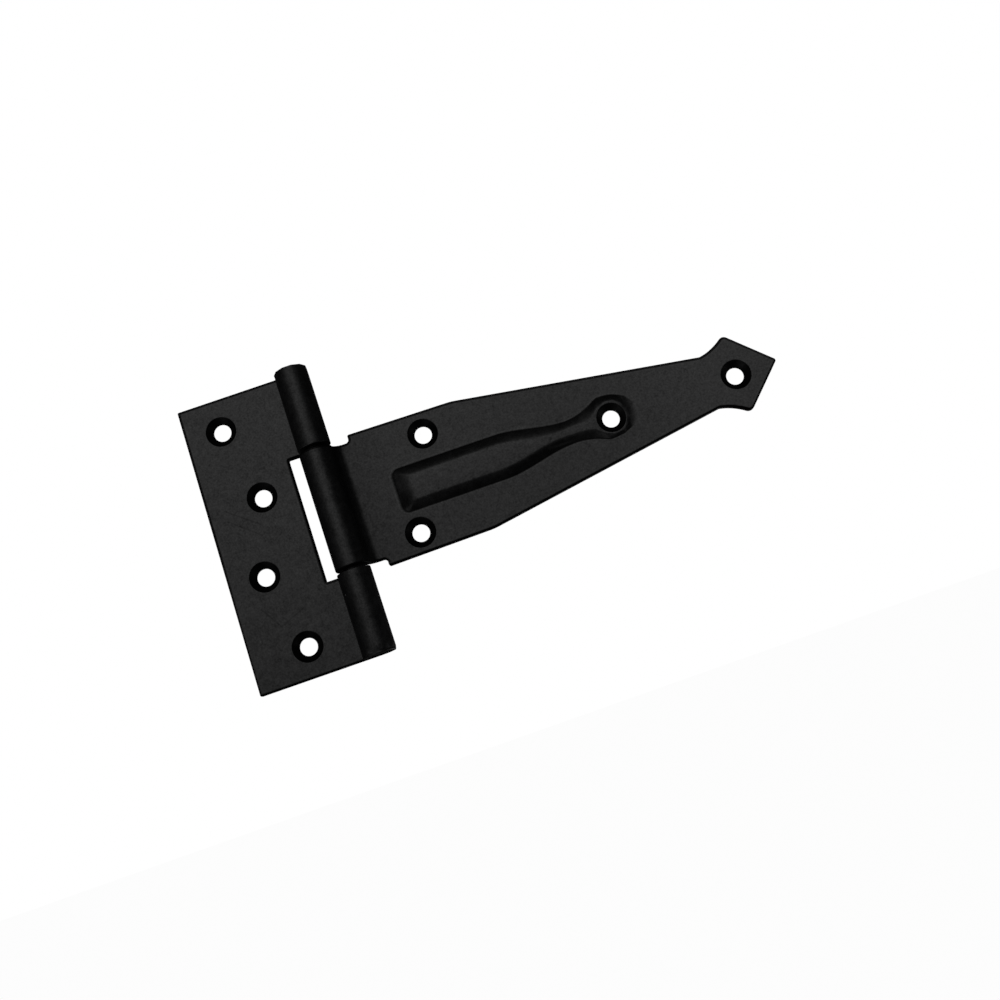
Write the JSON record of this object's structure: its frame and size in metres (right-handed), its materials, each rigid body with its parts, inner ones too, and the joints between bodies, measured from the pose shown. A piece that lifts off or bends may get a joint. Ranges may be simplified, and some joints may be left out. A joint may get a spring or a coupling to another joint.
{
  "type": "t hinge",
  "caption": "Surface-mounted T hinge: rectangular jamb leaf, long tapered strap with a pressed rib and spear end, joined by a fixed pin.",
  "frame": {"origin": "point on the flat back of the jamb leaf, halfway up it and 25 mm from the pin's axis, on the mounting plane of both leaves", "axes": "+X from the jamb leaf towards the strap's tip, +Y out of the back (into the post or gate), -Y the front with the knuckles, +Z along the pin"},
  "size_m": [0.1923, 0.011, 0.0978],
  "materials": {
    "jamb_leaf_coating": "satin black coating on pressed steel sheet, faint orange-peel texture",
    "strap_leaf_coating": "satin black coating on pressed steel sheet, faint orange-peel texture",
    "pin_coating": "satin black coating on a steel rod, ends slightly domed"
  },
  "bodies": {
    "jamb": {"jamb_leaf": "jamb_leaf_coating", "hinge_pin": "pin_coating"},
    "strap": {"strap_leaf": "strap_leaf_coating"}
  },
  "joints": [
    {"name": "strap_swing", "type": "hinge", "parent": "jamb", "child": "strap", "pos_m": [0.025, -0.0055, 0], "axis": [0, 0, -1], "range_deg": [-90, 180]}
  ]
}
